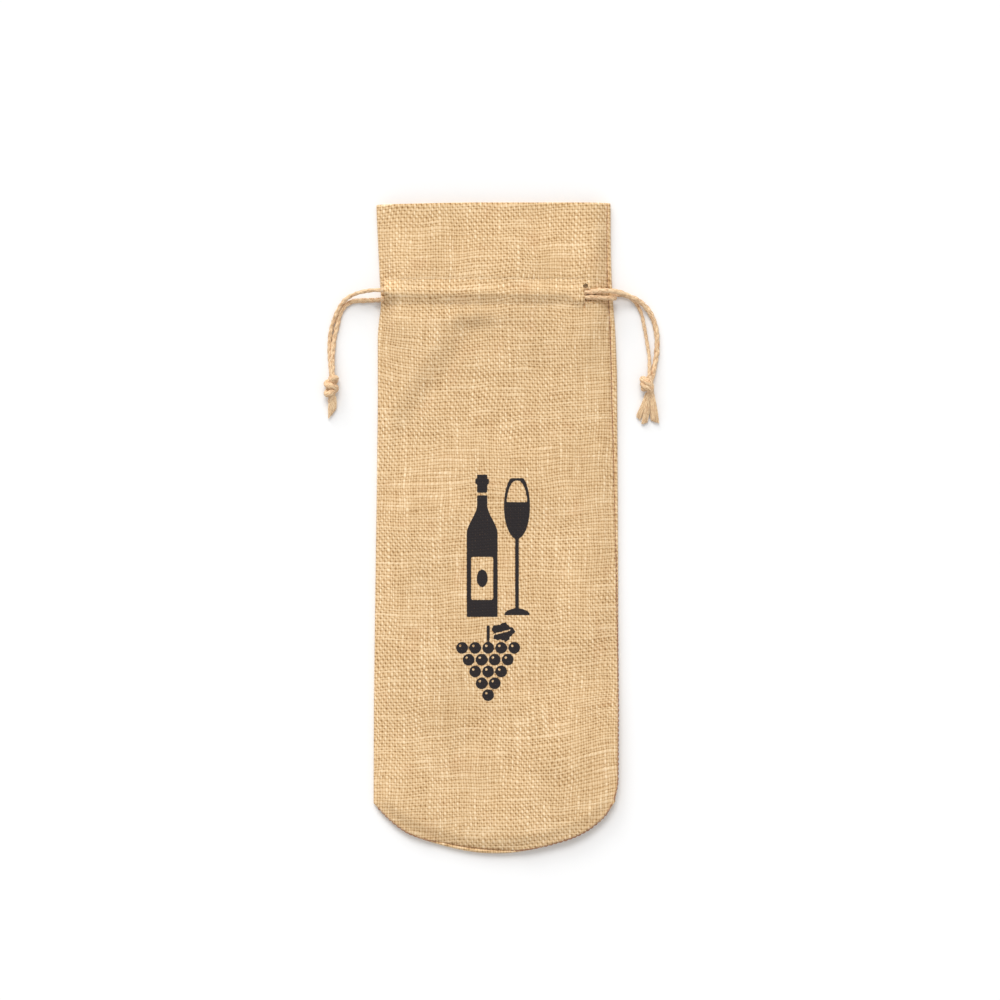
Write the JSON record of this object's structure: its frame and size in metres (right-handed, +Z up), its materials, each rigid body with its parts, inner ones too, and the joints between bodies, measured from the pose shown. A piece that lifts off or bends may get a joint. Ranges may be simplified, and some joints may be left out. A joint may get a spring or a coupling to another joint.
{
  "type": "wine gift bag",
  "caption": "Natural jute drawstring bag for one bottle, lying empty on its back, with a curved bottom seam, a stitched casing under a short header, and knotted twine drawcords.",
  "frame": {"origin": "middle of the bag's footprint, without its loose cord ends, on the surface that it lies on", "axes": "+X to the bag's right seen from its front, +Y along the bag towards its mouth, +Z up out of the front panel"},
  "size_m": [0.1955, 0.38, 0.013],
  "materials": {
    "jute_cloth": "coarse plain weave",
    "jute_hem": "coarse plain weave",
    "jute_seam": "raw woven edge",
    "sewing_thread": "spun thread",
    "jute_twine": "twisted, two-ply",
    "frayed_fibre": "loose bast fibre"
  },
  "bodies": {
    "bag": {"front_panel": "jute_cloth", "front_panel_base": "jute_cloth", "back_panel": "jute_cloth", "front_hem": "jute_hem", "back_hem": "jute_hem", "left_seam_allowance": "jute_seam", "right_seam_allowance": "jute_seam", "bottom_seam_allowance": "jute_seam", "left_seam_stitching": "sewing_thread", "right_seam_stitching": "sewing_thread", "bottom_seam_stitching": "sewing_thread", "front_casing_upper_stitching": "sewing_thread", "front_casing_lower_stitching": "sewing_thread", "back_casing_upper_stitching": "sewing_thread", "back_casing_lower_stitching": "sewing_thread", "left_cord_turn": "jute_twine", "right_cord_turn": "jute_twine"},
    "left_drawcord": {"left_cord_inner_run": "jute_twine", "left_cord_front_strand": "jute_twine", "left_cord_back_strand": "jute_twine", "left_cord_knot": "jute_twine", "left_cord_tail": "frayed_fibre"},
    "right_drawcord": {"right_cord_inner_run": "jute_twine", "right_cord_front_strand": "jute_twine", "right_cord_back_strand": "jute_twine", "right_cord_knot": "jute_twine", "right_cord_tail": "frayed_fibre"}
  },
  "joints": [
    {"name": "left_drawcord", "type": "slide", "parent": "bag", "child": "left_drawcord", "axis": [-1, 0, 0], "range_m": [0, 0.041], "deforming": ["front_hem", "back_hem"]},
    {"name": "right_drawcord", "type": "slide", "parent": "bag", "child": "right_drawcord", "axis": [1, 0, 0], "range_m": [0, 0.041], "deforming": ["front_hem", "back_hem"]}
  ]
}
